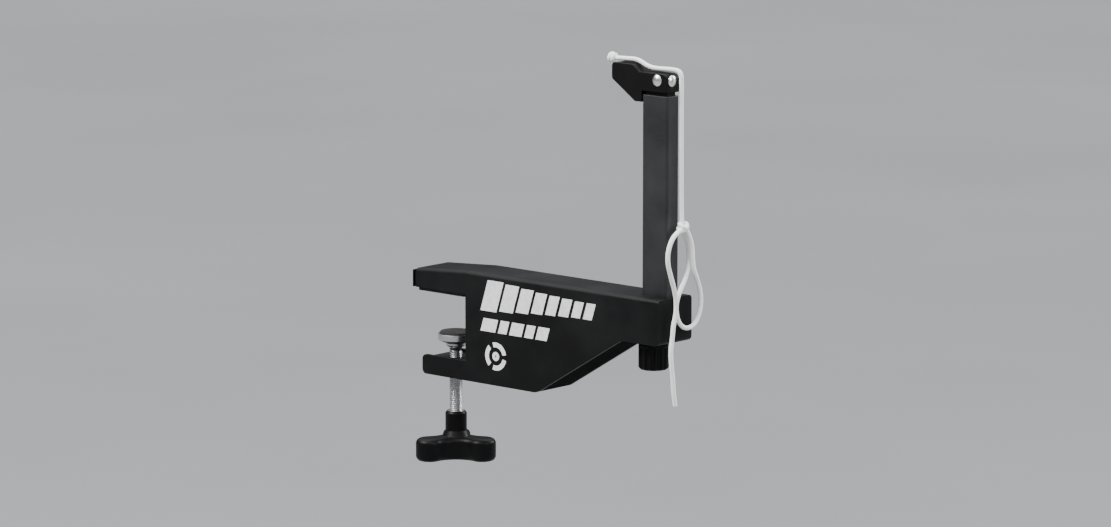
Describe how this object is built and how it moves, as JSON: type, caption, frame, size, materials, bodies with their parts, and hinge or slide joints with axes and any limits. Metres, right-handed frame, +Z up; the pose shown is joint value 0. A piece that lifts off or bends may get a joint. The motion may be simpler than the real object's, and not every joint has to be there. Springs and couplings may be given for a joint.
{
  "type": "table tennis net clamp",
  "caption": "Black steel table-edge clamp with a hand screw and swivel pad, a rectangular net post, a screw-adjusted cord hook head and a knotted white net cord.",
  "frame": {"origin": "point where the clamp screw's axis meets the underside of the top jaw pad, which is the table's playing surface", "axes": "+X outward from the table edge, +Z up along the clamp screw and the post, +Y along the table's side line"},
  "size_m": [0.2084, 0.0483, 0.262],
  "materials": {
    "black_steel": "fine satin black powder coat",
    "black_rubber": "matt, fine grained",
    "black_plastic": "moulded, lightly textured",
    "grey_nylon": "moulded nylon",
    "zinc_steel": "bright zinc plated",
    "bright_steel": "polished nickel plated",
    "white_cord": "braided white polyester",
    "white_print": "white screen ink, slightly worn"
  },
  "bodies": {
    "bracket": {"bracket_channel": "black_steel", "under_plate": "black_steel", "throat_plate": "black_steel", "edge_buffer": "black_rubber", "top_jaw_plate": "black_steel", "top_jaw_pad": "black_rubber", "tip_plug": "black_plastic", "lower_jaw_plate": "black_steel", "jaw_nut": "zinc_steel", "post_tube": "black_steel", "post_block": "grey_nylon", "post_bolt": "bright_steel", "post_washer": "bright_steel", "post_nut": "zinc_steel", "screw_bush": "grey_nylon"},
    "pad": {"pad_cup": "zinc_steel", "pad_rubber": "black_rubber", "pad_socket": "zinc_steel"},
    "screw": {"clamp_screw": "zinc_steel", "clamp_knob": "black_plastic", "knob_insert": "zinc_steel", "knob_cap": "black_plastic"},
    "riser": {"height_screw": "zinc_steel", "height_knob": "black_plastic", "screw_clip": "zinc_steel", "thrust_washer": "zinc_steel"},
    "head": {"slider_bar": "black_steel", "head_hook": "black_plastic", "head_rivets": "bright_steel", "cord_run": "white_cord", "cord_loop": "white_cord", "cord_tail": "white_cord", "cord_knot": "white_cord", "stopper_knot": "white_cord"}
  },
  "joints": [
    {"name": "pad_slide", "type": "slide", "parent": "bracket", "child": "pad", "axis": [0, 0, 1], "range_m": [-0.00625, 0.02]},
    {"name": "clamp_turn", "type": "hinge", "parent": "pad", "child": "screw", "pos_m": [0, 0, -0.05], "axis": [0, 0, 1], "range_deg": [-1800, 5760]},
    {"name": "head_slide", "type": "slide", "parent": "bracket", "child": "head", "axis": [0, 0, 1], "range_m": [-0.002, 0.008]},
    {"name": "height_turn", "type": "hinge", "parent": "bracket", "child": "riser", "pos_m": [0.16, 0, 0], "axis": [0, 0, 1], "range_deg": [-3600, 900]}
  ],
  "couplings": [
    {"joint": "clamp_turn", "follows": "pad_slide", "rad_per_m": 5026.5},
    {"joint": "height_turn", "follows": "head_slide", "rad_per_m": -7854}
  ]
}
